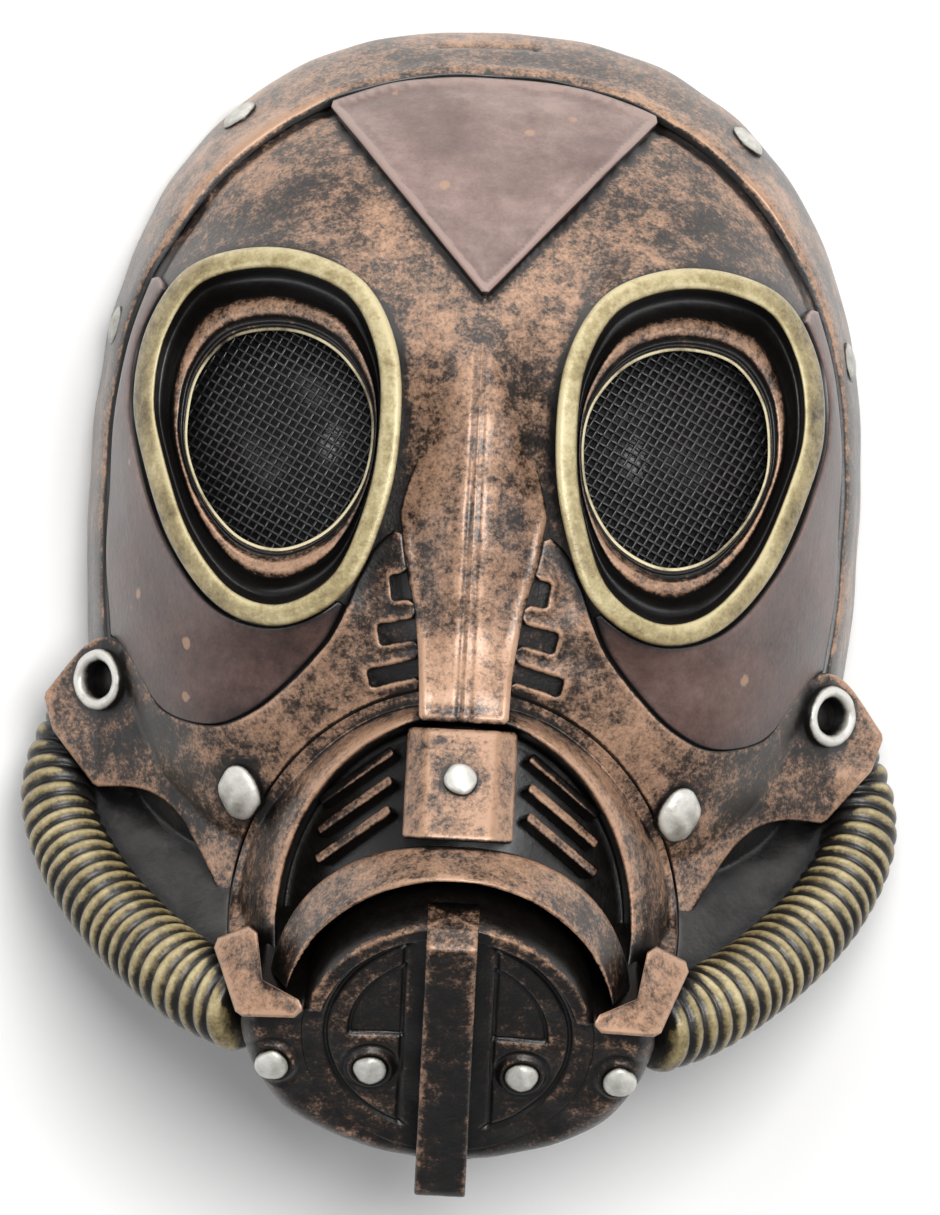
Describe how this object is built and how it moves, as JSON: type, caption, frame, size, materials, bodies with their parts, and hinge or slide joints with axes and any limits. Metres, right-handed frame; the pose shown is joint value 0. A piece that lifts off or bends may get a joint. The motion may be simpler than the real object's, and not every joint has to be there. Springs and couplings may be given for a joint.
{
  "type": "gas mask style costume mask",
  "caption": "Cast latex costume mask shaped as an old gas mask, worn over the face, with ringed mesh eyes, a slatted muzzle, a round filter can and ribbed hoses to the cheeks.",
  "frame": {"origin": "middle of the mask's box in plan, on the plane of its back rim, on which it lies face up", "axes": "+Z out of the face, +Y up the face towards the crown, +X towards the mask's own left side"},
  "size_m": [0.2248, 0.2998, 0.1385],
  "materials": {
    "latex_bronze": "cast latex, painted black and dry-brushed with copper, semi-gloss",
    "latex_brown": "cast latex, painted brown like leather, semi-gloss",
    "latex_black": "cast latex, painted black, semi-gloss",
    "latex_brass": "cast latex, painted old brass over black, semi-gloss",
    "latex_silver": "cast latex, painted silver, a little worn",
    "net_black": "fine black net"
  },
  "bodies": {
    "root": {"face_shell": "latex_bronze", "rim_band": "latex_bronze", "nose_plate": "latex_bronze", "eye_frame_left": "latex_bronze", "eye_frame_right": "latex_bronze", "arm_plate_left": "latex_bronze", "arm_plate_right": "latex_bronze", "muzzle": "latex_bronze", "chin": "latex_bronze", "filter_can": "latex_bronze", "filter_bar": "latex_bronze", "mouth_lip": "latex_bronze", "mouth_bracket": "latex_bronze", "mouth_gill_left": "latex_bronze", "mouth_gill_right": "latex_bronze", "hose_collar_left": "latex_bronze", "hose_collar_right": "latex_bronze", "forehead_panel": "latex_brown", "cheek_panel_left": "latex_brown", "cheek_panel_right": "latex_brown", "jaw_panel_left": "latex_black", "jaw_panel_right": "latex_black", "eye_ring_left": "latex_brass", "eye_ring_right": "latex_brass", "hose_left": "latex_brass", "hose_right": "latex_brass", "eyelet_left": "latex_silver", "eyelet_right": "latex_silver", "band_rivet_upper_left": "latex_silver", "band_rivet_upper_right": "latex_silver", "band_rivet_side_left": "latex_silver", "band_rivet_side_right": "latex_silver", "arm_rivet_left": "latex_silver", "arm_rivet_right": "latex_silver", "can_rivet_left": "latex_silver", "can_rivet_right": "latex_silver", "chin_rivet_left": "latex_silver", "chin_rivet_right": "latex_silver", "bracket_rivet": "latex_silver", "eye_mesh_left": "net_black", "eye_mesh_right": "net_black"}
  },
  "joints": []
}
